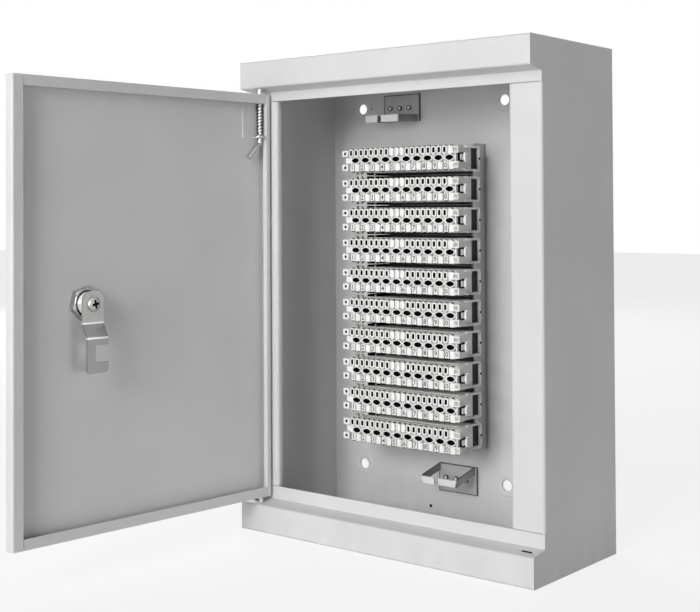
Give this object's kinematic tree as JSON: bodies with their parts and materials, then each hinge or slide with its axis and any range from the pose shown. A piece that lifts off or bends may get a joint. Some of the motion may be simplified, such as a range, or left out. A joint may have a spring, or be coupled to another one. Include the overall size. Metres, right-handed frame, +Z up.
{
  "type": "telephone distribution cabinet",
  "caption": "Wall-mounting sheet-steel cabinet with a hinged door, quarter-turn lock, stacked wire disconnection modules and cable rings.",
  "frame": {"origin": "centre of the closed cabinet's base, on its underside", "axes": "+Z up, +Y towards the wall, -Y towards the person at the door, +X to that person's right; the door hangs open at joint value zero"},
  "size_m": [0.2499, 0.334, 0.35],
  "materials": {
    "powder_coat": "light grey powder coat",
    "powder_coat_door": "light grey powder coat",
    "zinc": "bright zinc",
    "spring_steel": "bright wire",
    "chrome": "chrome plated",
    "stainless": "satin stainless",
    "module_plastic": "white moulded plastic",
    "rubber": "black"
  },
  "bodies": {
    "case": {"case_wrap": "powder_coat", "top_hood": "powder_coat", "bottom_sill": "powder_coat", "entry_grommet": "rubber", "module_frame": "stainless", "frame_screws": "zinc", "module_01": "module_plastic", "module_02": "module_plastic", "module_03": "module_plastic", "module_04": "module_plastic", "module_05": "module_plastic", "module_06": "module_plastic", "module_07": "module_plastic", "module_08": "module_plastic", "module_09": "module_plastic", "module_10": "module_plastic", "module_test_strips": "module_plastic", "upper_cable_ring": "stainless", "lower_cable_ring": "stainless", "ring_rivets": "zinc"},
    "door": {"door_pan": "powder_coat_door", "hinge_bracket": "powder_coat_door", "lower_hinge_pin": "zinc", "lock_barrel": "chrome", "lock_nut": "zinc", "hinge_spring": "spring_steel"},
    "hinge_bolt": {"hinge_bolt": "zinc"},
    "lock_cam": {"lock_plug": "chrome", "lock_cam": "zinc", "cam_screw": "chrome"}
  },
  "joints": [
    {"name": "door_hinge", "type": "hinge", "parent": "case", "child": "door", "pos_m": [-0.1075, -0.05325, 0.175], "axis": [0, 0, 1], "range_deg": [-86, 94]},
    {"name": "hinge_bolt_slide", "type": "slide", "parent": "door", "child": "hinge_bolt", "axis": [0, 0, -1], "range_m": [0, 0.0065], "stiffness_N_per_m": 300, "springref_m": -0.004, "deforming": ["hinge_spring"]},
    {"name": "lock_turn", "type": "hinge", "parent": "door", "child": "lock_cam", "pos_m": [-0.12336, -0.21554, 0.1775], "axis": [-0.9976, 0.0698, 0], "range_deg": [0, 90]}
  ]
}
